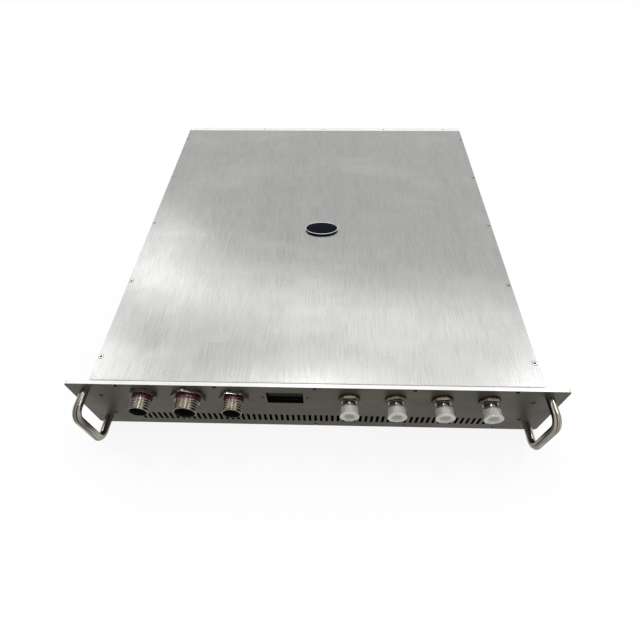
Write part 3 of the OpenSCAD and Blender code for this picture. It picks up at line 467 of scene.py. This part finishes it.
def receptacle_shell(index, sizes):
    """One receptacle's shell: rear barrel, flange, plain barrel with a groove for its band, and
    a three-start coupling thread that ends in a rounded mouth. The mouth's front face and lead-in
    and the bore down to the insert are painted dark as painted shade."""
    thread_r = sizes["thread"] / 2
    barrel_r = sizes["barrel"] / 2
    bore_r = thread_r - SHELL_WALL
    rear_r = bore_r + REAR_BARREL_WALL
    flange_r = sizes["nut"] / 2 + FLANGE_OVERHANG
    flange_back = -PANEL_T - FLANGE_T
    rear = flange_back - REAR_BARREL
    thread_end = SHELL_REACH - MOUTH_EDGE
    threaded = [(thread_r, h) for h in heights(BARREL_REACH, thread_end, COUPLING_STEP)]
    outline = [(bore_r, rear), (rear_r, rear), (rear_r, flange_back), (flange_r, flange_back),
               (flange_r, -PANEL_T), (barrel_r, -PANEL_T), (barrel_r, BAND_FROM),
               (barrel_r - BAND_DEPTH, BAND_FROM), (barrel_r - BAND_DEPTH, BARREL_REACH)]
    outline += threaded
    outline += [(thread_r - MOUTH_EDGE, SHELL_REACH), (bore_r + LEAD_IN, SHELL_REACH),
                (bore_r, SHELL_REACH - LEAD_IN), (bore_r, INSERT_REACH)]
    cut = thread_cut(thread_r, COUPLING_DEPTH, BARREL_REACH, thread_end, COUPLING_PITCH, 3)

    def radius_at(radius, height, angle):
        if radius <= bore_r + LEAD_IN and height > INSERT_REACH + 0.1:
            for k, key in enumerate(KEY_ANGLES):
                half_width = MAIN_KEY_HALF_W if k == 0 else KEY_HALF_W
                away = abs((math.degrees(angle) - key + 180) % 360 - 180)
                if math.radians(away) * bore_r < half_width:
                    return radius + KEY_DEPTH
        return cut(radius, height, angle)

    name = f"receptacle_shell_{index + 1}"
    # Painted shade: the mouth's front face and lead-in take the dark front material, and the bore
    # wall down to the insert takes the black insert material
    bore = len(outline) - 2
    mesh = turned(name, outline, out_of_panel(RECEPTACLE_XS[index]),
                  ("nickel", "insert", "painted_shade_fronts"), 180, radius_at,
                  [(bore - 2, bore - 1, 2), (bore, bore + 1, 1)])
    return new_piece(name, mesh, "nickel", replaced=[f"receptacle_{index + 1}_shell"])


for index, sizes in enumerate(RECEPTACLES):
    receptacle_shell(index, sizes)


# Coaxial jacks: the same lathe work with a fine single thread in front of a plain neck

JACK_R = 7.95
JACK_REACH = 18.4
JACK_NECK_R = 6.45
JACK_THREAD_L = 9.4
NUT_FRONT = 4.6
JACK_SOCKET_R = 4.3
JACK_CONTACT_R = 1.5
JACK_FLANGE_T = 3
STUB_R = 3.175
STUB_L = 8
FINE_PITCH = 1.06
FINE_DEPTH = 0.5
FINE_STEP = 0.13
JACK_EDGE = 0.7
JACK_FLANGE_W = 2
CONTACT_GAP = 0.6
THREAD_RELIEF = 0.5


def jack_body(index):
    """One jack: rear stub, flange, barrel through the nut, plain neck and single-start thread."""
    flange_back = -PANEL_T - JACK_FLANGE_T
    rear = flange_back - STUB_L
    bore_r = JACK_CONTACT_R + CONTACT_GAP
    flange_r = JACK_R + JACK_FLANGE_W
    thread_from = JACK_REACH - JACK_THREAD_L
    thread_end = JACK_REACH - JACK_EDGE
    threaded = [(JACK_R, h) for h in heights(thread_from, thread_end, FINE_STEP)]
    outline = [(bore_r, rear), (STUB_R, rear), (STUB_R, flange_back), (flange_r, flange_back),
               (flange_r, -PANEL_T), (JACK_R, -PANEL_T), (JACK_R, NUT_FRONT),
               (JACK_NECK_R, NUT_FRONT), (JACK_NECK_R, thread_from - THREAD_RELIEF)] + threaded
    outline += [(JACK_R - JACK_EDGE, JACK_REACH), (JACK_SOCKET_R + LEAD_IN, JACK_REACH),
                (JACK_SOCKET_R, JACK_REACH - LEAD_IN), (JACK_SOCKET_R, -PANEL_T),
                (bore_r, -PANEL_T)]
    cut = thread_cut(JACK_R, FINE_DEPTH, thread_from, thread_end, FINE_PITCH, 1, 0.3)
    name = f"coaxial_jack_{index + 1}"
    mesh = turned(name, outline, out_of_panel(JACK_XS[index]), ["nickel"], 128, cut)
    return new_piece(name, mesh, "nickel", replaced=[f"rf_jack_{index + 1}"])


# Push-on caps with a rolled rim and a recessed end

CAP_GAP = 0.1
CAP_WALL = 0.6
CAP_L = 9.2
CAP_RIM_H = 1.8
CAP_ROLL = 0.55
CAP_LIP = 0.3
CAP_CORNER = 0.4
CAP_SPOT = 0.6
CAP_RIM_OUT = 0.6
CAP_RECESS = 0.8


def arc(centre, radius, start, end, steps):
    """Points of an arc in the outline's plane, angles in degrees."""
    turns = [math.radians(start + (end - start) * i / steps) for i in range(steps + 1)]
    return [(centre[0] + radius * math.cos(t), centre[1] + radius * math.sin(t)) for t in turns]


def push_on_cap(index):
    """One cap: a thin sleeve with a soft lip, flared into a rolled rim round a recessed end. The
    middle of the end is drawn darker as painted shade, where the dark socket behind shows through."""
    inner = JACK_R + CAP_GAP
    outer = inner + CAP_WALL
    rim = outer + CAP_RIM_OUT
    ceiling = JACK_REACH + CAP_GAP
    end = ceiling + CAP_WALL + CAP_RECESS
    mouth = end - CAP_L
    rim_back = end - CAP_RIM_H
    outline = [(0, ceiling), (inner - CAP_CORNER, ceiling), (inner, ceiling - CAP_CORNER),
               (inner, mouth + 0.15)]
    outline += arc((outer - CAP_LIP, mouth + CAP_LIP), CAP_LIP, 225, 360, 4)
    outline += [(outer, rim_back - 1.1), (outer + 0.12, rim_back - 0.5)]
    rim_from = len(outline) - 1
    outline += arc((rim - CAP_ROLL, rim_back + CAP_ROLL), CAP_ROLL, -45, 0, 3)
    outline += arc((rim - CAP_ROLL, end - CAP_ROLL), CAP_ROLL, 0, 90, 5)
    outline += arc((outer - 0.9, end - CAP_LIP), CAP_LIP, 90, 170, 3)
    outline += [(outer - 1.75, end - CAP_RECESS), (outer * CAP_SPOT, end - CAP_RECESS),
                (0, end - CAP_RECESS)]
    name = f"push_on_cap_{index + 1}"
    last = len(outline) - 1
    mesh = turned(name, outline, out_of_panel(JACK_XS[index]), ("cap", "cap_rim", "cap_end"), 96,
                  None, [(rim_from, last - 2, 1), (last - 1, last, 2)])
    return new_piece(name, mesh, "cap", body=f"cap_{index + 1}",
                     replaced=[f"rf_cap_{index + 1}"])


for index in range(4):
    jack_body(index)
    push_on_cap(index)


# Geometry Nodes

def start_tree(name, inputs):
    """A geometry tree with a geometry input, named sizes and a geometry output."""
    tree = bpy.data.node_groups.new(name, "GeometryNodeTree")
    tree.interface.new_socket("Geometry", in_out="INPUT", socket_type="NodeSocketGeometry")
    for label, (kind, value) in inputs.items():
        socket = tree.interface.new_socket(label, in_out="INPUT", socket_type=kind)
        if value is not None:
            socket.default_value = value
    tree.interface.new_socket("Geometry", in_out="OUTPUT", socket_type="NodeSocketGeometry")
    return tree, add(tree, "NodeGroupInput")


def end_tree(tree, geometry, finish, recessed=False):
    """Realizes the instances and sets the material, because only plain meshes are exported."""
    real = add(tree, "GeometryNodeRealizeInstances", Geometry=geometry)
    painted = add(tree, "GeometryNodeSetMaterial", values={"Material": materials[finish]},
                  Geometry=real.outputs[0])
    # Painted shade: faces marked as recess, the screw's socket and seam, take the near-black recess
    # material
    if recessed:
        deep = add(tree, "GeometryNodeInputNamedAttribute", {"data_type": "BOOLEAN"},
                   {"Name": "recess"})
        painted = add(tree, "GeometryNodeSetMaterial", values={"Material": materials["recess"]},
                      Geometry=painted.outputs[0], Selection=deep.outputs["Attribute"])
    add(tree, "NodeGroupOutput", Geometry=painted.outputs[0])


def grown(name, tree, base_mesh, values):
    """The plain mesh that a tree makes of a base mesh with the given input values."""
    carrier = bpy.data.objects.new(name + "_carrier", base_mesh)
    bpy.context.scene.collection.objects.link(carrier)
    modifier = carrier.modifiers.new("grow", "NODES")
    modifier.node_group = tree
    for socket in tree.interface.items_tree:
        if socket.in_out == "INPUT" and socket.name in values:
            modifier[socket.identifier] = values[socket.name]
    depsgraph = bpy.context.evaluated_depsgraph_get()
    mesh = bpy.data.meshes.new_from_object(carrier.evaluated_get(depsgraph))
    bpy.data.objects.remove(carrier)
    mesh.name = name
    return mesh


# Handles: a rod swept along a bracket-shaped path with rounded corners

def handle_tree():
    """The handles' tree: a path with rounded corners, swept by a round rod."""
    tree, given = start_tree("bent_rod", {
        "Rod radius": ("NodeSocketFloat", HANDLE_ROD_D / 2 * MM),
        "Bend radius": ("NodeSocketFloat", HANDLE_BEND_R * MM),
    })
    path = add(tree, "GeometryNodeMeshToCurve", Mesh=given.outputs["Geometry"])
    bend = add(tree, "GeometryNodeFilletCurve", {"mode": "POLY"}, {"Count": 12},
               Curve=path.outputs[0], Radius=given.outputs["Bend radius"])
    section = add(tree, "GeometryNodeCurvePrimitiveCircle", values={"Resolution": 32},
                  Radius=given.outputs["Rod radius"])
    rod = add(tree, "GeometryNodeCurveToMesh", values={"Fill Caps": True},
              Curve=bend.outputs[0], Profile_Curve=section.outputs[0])
    end_tree(tree, rod.outputs[0], "stainless")
    return tree


def handle(side, name, node_name, tree):
    """One handle, on the side that the sign of side says."""
    x = side * HANDLE_X
    grip = -PANEL_T - HANDLE_REACH
    low, high = HANDLE_ZS
    corners = [(x, -PANEL_T, low), (x, grip, low), (x, grip, high), (x, -PANEL_T, high)]
    path = bpy.data.meshes.new(name + "_path")
    path.from_pydata([Vector(c) * MM for c in corners], [(0, 1), (1, 2), (2, 3)], [])
    mesh = grown(name, tree, path, {"Rod radius": HANDLE_ROD_D / 2 * MM,
                                    "Bend radius": HANDLE_BEND_R * MM})
    smooth(mesh)
    return new_piece(name, mesh, "stainless", replaced=[node_name])


rod_tree = handle_tree()
handle(-1, "bar_handle_left", "left_handle", rod_tree)
handle(1, "bar_handle_right", "right_handle", rod_tree)


# Countersunk screws with hexagon sockets, one mesh set on every place of a pattern

SOCKET_SHARE = 0.44
SOCKET_DEPTH_SHARE = 0.9
SEAM_W = 0.4
SEAM_DEPTH = 0.3


def screw_mesh(shank_d, head_d, length):
    """Countersunk screw, its head's face at Z = 0, with a hexagon socket and a shaded seam."""
    cone = (head_d - shank_d) / 2
    socket_r = shank_d * SOCKET_SHARE
    socket_depth = cone * SOCKET_DEPTH_SHARE
    sides = 24
    work = bmesh.new()

    def ring(radius, height, count=sides):
        return [work.verts.new(Vector((radius * math.cos(2 * math.pi * k / count),
                                       radius * math.sin(2 * math.pi * k / count), height)) * MM)
                for k in range(count)]

    tip, neck = ring(shank_d / 2, -length), ring(shank_d / 2, -cone)
    shoulder, face = ring(head_d / 2, -SEAM_DEPTH), ring(head_d / 2 - SEAM_W, 0)
    for low, high in ((tip, neck), (neck, shoulder), (shoulder, face)):
        for k in range(sides):
            work.faces.new((low[k], low[(k + 1) % sides], high[(k + 1) % sides], high[k]))
    work.faces.new(list(reversed(tip)))
    hexagon = ring(socket_r, 0, 6)
    floor_ring = ring(socket_r, -socket_depth, 6)
    step = sides // 6
    for k in range(6):
        outer = [face[(k * step + j) % sides] for j in range(step + 1)]
        work.faces.new(outer + [hexagon[(k + 1) % 6], hexagon[k]])
        work.faces.new((hexagon[k], hexagon[(k + 1) % 6], floor_ring[(k + 1) % 6], floor_ring[k]))
    work.faces.new(floor_ring)
    bmesh.ops.recalc_face_normals(work, faces=work.faces)
    # Painted shade: faces touching the socket's floor or the seam's shoulder are marked for a
    # near-black material
    deep = set(floor_ring) | set(shoulder)
    sunk = [any(corner in deep for corner in face.verts) for face in work.faces]
    mesh = bpy.data.meshes.new("screw_pattern")
    work.to_mesh(mesh)
    work.free()
    mesh.attributes.new("recess", "BOOLEAN", "FACE").data.foreach_set("value", sunk)
    smooth(mesh, 30)
    return mesh


def pattern_tree(finish):
    """A tree that sets one screw on every point, all turned alike."""
    tree, given = start_tree("set_on_points_" + finish, {
        "Screw": ("NodeSocketObject", None),
        "Turn": ("NodeSocketVector", (0, 0, 0)),
    })
    source = add(tree, "GeometryNodeObjectInfo", Object=given.outputs["Screw"])
    points = add(tree, "GeometryNodeMeshToPoints", Mesh=given.outputs["Geometry"])
    placed = add(tree, "GeometryNodeInstanceOnPoints", Points=points.outputs[0],
                 Instance=source.outputs["Geometry"], Rotation=given.outputs["Turn"])
    end_tree(tree, placed.outputs[0], finish, recessed=True)
    return tree


def screw_pattern(name, node_name, finish, sizes, places, turn):
    """All screws of one kind as one piece, at the given places and turned by the given angles."""
    source = bpy.data.objects.new(name + "_source", screw_mesh(*sizes))
    bpy.context.scene.collection.objects.link(source)
    points = bpy.data.meshes.new(name + "_points")
    points.from_pydata([Vector(p) * MM for p in places], [], [])
    mesh = grown(name, pattern_tree(finish), points,
                 {"Screw": source, "Turn": [math.radians(a) for a in turn]})
    bpy.data.objects.remove(source)
    return new_piece(name, mesh, finish, replaced=[node_name])


PLATE_SCREW = (2.5, 4.7, 14)
COVER_SCREW = (3, 5.5, 14)
row_xs = [SCREW_ROW_PITCH * i for i in (-2, -1, 0, 1, 2)]
upper_rear_xs = [SCREW_ROW_PITCH * i for i in (-1.5, -0.5, 0.5, 1.5)]
side_places = [(s * SIDE_SCREW_X, z) for s in (-1, 1) for z in SIDE_SCREW_ZS]
low_row_z = BASE_T / 2
high_row_z = PANEL_H - COVER_T / 2
front_places = [(x, z) for x in row_xs for z in (low_row_z, high_row_z)] + side_places
rear_places = [(x, low_row_z) for x in row_xs] + [(x, high_row_z) for x in upper_rear_xs]
rear_places += side_places
screw_pattern("front_panel_screws", "panel_screws", "dark_screw", PLATE_SCREW,
              [(x, -PANEL_T, z) for x, z in front_places], (90, 0, 0))
screw_pattern("rear_wall_screws", "rear_screws", "dark_screw", PLATE_SCREW,
              [(x, CHASSIS_D, z) for x, z in rear_places], (-90, 0, 0))
screw_pattern("top_cover_screws", "cover_screws", "bright_screw", COVER_SCREW,
              [(s * COVER_SCREW_X, y, PANEL_H) for s in (-1, 1) for y in COVER_SCREW_YS], (0, 0, 0))
screw_pattern("base_plate_screws", "base_screws", "bright_screw", COVER_SCREW,
              [(s * COVER_SCREW_X, y, 0) for s in (-1, 1) for y in COVER_SCREW_YS], (180, 0, 0))


# Oval badge, a silver rim round a domed dark-blue field with no lettering

BADGE_L = 41
BADGE_W = 23
BADGE_H = 2.9
BADGE_RIM = 0.9
BADGE_RIM_H = 0.6


def oval_shell(name, rings, finish, replaced=()):
    """Closed shell of oval rings (inset, height), the last one closed by a face."""
    steps = 96
    work = bmesh.new()
    loops = []
    for inset, height in rings:
        loops.append([work.verts.new(Vector((
            (BADGE_L / 2 - inset) * math.cos(2 * math.pi * k / steps) + BADGE_X,
            (BADGE_W / 2 - inset) * math.sin(2 * math.pi * k / steps) + BADGE_Y,
            PANEL_H + height)) * MM) for k in range(steps)])
    for low, high in zip(loops, loops[1:]):
        for k in range(steps):
            work.faces.new((low[k], low[(k + 1) % steps], high[(k + 1) % steps], high[k]))
    work.faces.new(list(reversed(loops[0])))
    work.faces.new(loops[-1])
    bmesh.ops.recalc_face_normals(work, faces=work.faces)
    mesh = bpy.data.meshes.new(name)
    work.to_mesh(mesh)
    work.free()
    smooth(mesh)
    return new_piece(name, mesh, finish, replaced=replaced)


field_inset = BADGE_RIM + 0.05
rim_foot = BADGE_H - BADGE_RIM_H
dome = [(field_inset + (BADGE_W / 2 - field_inset - 0.4) * (1 - math.cos(t)),
         BADGE_H - 0.45 + 0.35 * math.sin(t)) for t in [math.pi / 2 * i / 10 for i in range(11)]]
oval_shell("badge_body", [(0.5, 0), (0.3, 0.2), (0.1, rim_foot - 0.02)], "case", ["badge"])
oval_shell("badge_rim", [(0.1, rim_foot), (0, rim_foot + 0.1), (0, BADGE_H - 0.2),
                         (0.2, BADGE_H), (BADGE_RIM - 0.2, BADGE_H), (BADGE_RIM, BADGE_H - 0.45)],
           "rim")
oval_shell("badge_field", [(field_inset, BADGE_H - 0.5)] + dome, "enamel")


# Printed numerals 1 to 7 beside the connectors

def printed_text(name, text, size, x, z, y, finish):
    """Flat numerals on a plane that faces the front, as a mesh in place."""
    curve = bpy.data.curves.new(name, "FONT")
    curve.body = text
    curve.size = size * MM
    curve.align_x = "CENTER"
    curve.align_y = "CENTER"
    curve.resolution_u = 3
    carrier = bpy.data.objects.new(name + "_carrier", curve)
    bpy.context.scene.collection.objects.link(carrier)
    depsgraph = bpy.context.evaluated_depsgraph_get()
    mesh = bpy.data.meshes.new_from_object(carrier.evaluated_get(depsgraph))
    bpy.data.objects.remove(carrier)
    place = Matrix.Translation(Vector((x, y, z)) * MM)
    mesh.transform(place @ Matrix.Rotation(math.pi / 2, 4, "X"))
    return new_piece(name, mesh, finish)


LABEL_SIZE = 5.6
LABEL_Z = 42
LABEL_OFF = {-1: 3.5, 1: -1.8}
for number, x in enumerate(RECEPTACLE_XS + JACK_XS, 1):
    printed_text(f"port_number_{number}", str(number), LABEL_SIZE,
                 x + LABEL_OFF[int(math.copysign(1, x))], LABEL_Z, -PANEL_T - 0.04, "ink")


# Stage, lights and camera

FLOOR_W = 14
FLOOR_DROP = 0.0005
FLOOR_WHITE = 0.85


def seen_directly(tree):
    """1 for rays from the camera, from reflections and through glass."""
    rays = add(tree, "ShaderNodeLightPath")
    seen = add(tree, "ShaderNodeMath", {"operation": "MAXIMUM"},
               i0=rays.outputs["Is Camera Ray"], i1=rays.outputs["Is Glossy Ray"])
    seen = add(tree, "ShaderNodeMath", {"operation": "MAXIMUM"},
               i0=seen.outputs[0], i1=rays.outputs["Is Transmission Ray"])
    return seen.outputs[0]


def stage_material():
    """Matt white paper: near white to the camera and in reflections, with the shadow kept."""
    material, tree, shader = start_material("white_paper_floor")
    shader.inputs["Base Color"].default_value = linear("#FAFAFA")
    shader.inputs["Roughness"].default_value = 0.9
    share = add(tree, "ShaderNodeMath", {"operation": "MULTIPLY"}, {1: FLOOR_WHITE},
                i0=seen_directly(tree))
    glow = add(tree, "ShaderNodeEmission", values={"Color": (1, 1, 1, 1), "Strength": 1})
    both = add(tree, "ShaderNodeMixShader", i0=share.outputs[0], i1=shader.outputs[0],
               i2=glow.outputs[0])
    tree.links.new(both.outputs[0], tree.nodes["Material Output"].inputs["Surface"])
    return material


def stage_floor():
    """A square floor just under the object."""
    mesh = bpy.data.meshes.new("floor")
    half = FLOOR_W / 2
    mesh.from_pydata([(-half, -half, 0), (half, -half, 0), (half, half, 0), (-half, half, 0)], [],
                     [(0, 1, 2, 3)])
    mesh.materials.append(stage_material())
    floor = bpy.data.objects.new("floor", mesh)
    floor.location.z = -FLOOR_DROP
    bpy.context.scene.collection.objects.link(floor)


def white_world(strength):
    """White to the camera, to reflections and through glass, softer as light on the object."""
    world = bpy.data.worlds.new("studio")
    world.use_nodes = True
    tree = world.node_tree
    tree.nodes.clear()
    lamp = add(tree, "ShaderNodeBackground",
               values={"Color": (1, 1, 1, 1), "Strength": strength})
    backdrop = add(tree, "ShaderNodeBackground", values={"Color": (1, 1, 1, 1), "Strength": 1})
    both = add(tree, "ShaderNodeMixShader", i0=seen_directly(tree), i1=lamp.outputs[0],
               i2=backdrop.outputs[0])
    add(tree, "ShaderNodeOutputWorld", Surface=both.outputs[0])
    bpy.context.scene.world = world


def soft_light(name, place, target, size, power, turn=0):
    """Rectangular area lamp at place, its long side level, turned to target and then by turn
    degrees about its own beam."""
    lamp = bpy.data.lights.new(name, "AREA")
    lamp.shape = "RECTANGLE"
    lamp.size, lamp.size_y = size
    lamp.energy = power
    holder = bpy.data.objects.new(name, lamp)
    holder.location = place
    aim = (Vector(target) - Vector(place)).to_track_quat("-Z", "Y").to_matrix()
    holder.rotation_euler = (aim @ Matrix.Rotation(math.radians(turn), 3, "Z")).to_euler()
    bpy.context.scene.collection.objects.link(holder)


# The camera as the photograph had it: place, heading and tilt found from the box's edges
CAMERA_PLACE = (0.01406, -0.19299, 0.44868)
CAMERA_AZIMUTH = 0.0387
CAMERA_TILT = 0.9092
CAMERA_ROLL = -0.0173
CAMERA_LENS = 23.83


def photo_camera():
    """The fitted camera, turned by its heading, its tilt and its roll."""
    data = bpy.data.cameras.new("camera")
    data.sensor_width = 36
    data.lens = CAMERA_LENS
    data.clip_start = 0.01
    camera = bpy.data.objects.new("camera", data)
    camera.location = CAMERA_PLACE
    forward = Vector((-math.sin(CAMERA_AZIMUTH) * math.cos(CAMERA_TILT),
                      math.cos(CAMERA_AZIMUTH) * math.cos(CAMERA_TILT), -math.sin(CAMERA_TILT)))
    right = Vector((math.cos(CAMERA_AZIMUTH), math.sin(CAMERA_AZIMUTH), 0))
    up = right.cross(forward)
    right, up = (math.cos(CAMERA_ROLL) * right + math.sin(CAMERA_ROLL) * up,
                 math.cos(CAMERA_ROLL) * up - math.sin(CAMERA_ROLL) * right)
    camera.rotation_euler = Matrix((right, up, -forward)).transposed().to_euler()
    bpy.context.scene.collection.objects.link(camera)
    bpy.context.scene.camera = camera


stage_floor()
white_world(0.8)
soft_light("ceiling_strip", (0, 1.05, 1.3), (0, 0.1, 0.09), (1.9, 0.14), 1.2, -7)
soft_light("ceiling_window", (-0.98, 1.4, 1.3), (-0.2, 0.15, 0.09), (0.5, 0.5), 1.1, 35)
soft_light("overhead_softbox", (0.1, 0.05, 1.45), (0, 0.05, 0), (2.2, 1.0), 2.4)
soft_light("tube_light_left", (-0.17, 0.6, 1.3), (0, 0, 0.07), (0.58, 0.06), 0.28)
soft_light("tube_light_right", (0.66, 0.62, 1.3), (0, 0, 0.07), (0.42, 0.06), 0.15, 8)
soft_light("lamp_middle", (0.0, 0.49, 1.3), (-0.12, 0, 0.07), (0.2, 0.12), 1.3)
soft_light("lamp_right", (0.92, 0.48, 1.3), (-0.12, 0, 0.07), (0.2, 0.12), 1.6)
soft_light("side_strip_left", (-1.35, 0.95, 1.2), (-0.1, 0, 0.06), (0.22, 1.1), 3.2)
soft_light("side_strip_right", (1.35, 0.95, 1.2), (0.1, 0, 0.06), (0.22, 1.1), 3)
photo_camera()
bpy.context.scene.view_settings.view_transform = "Standard"
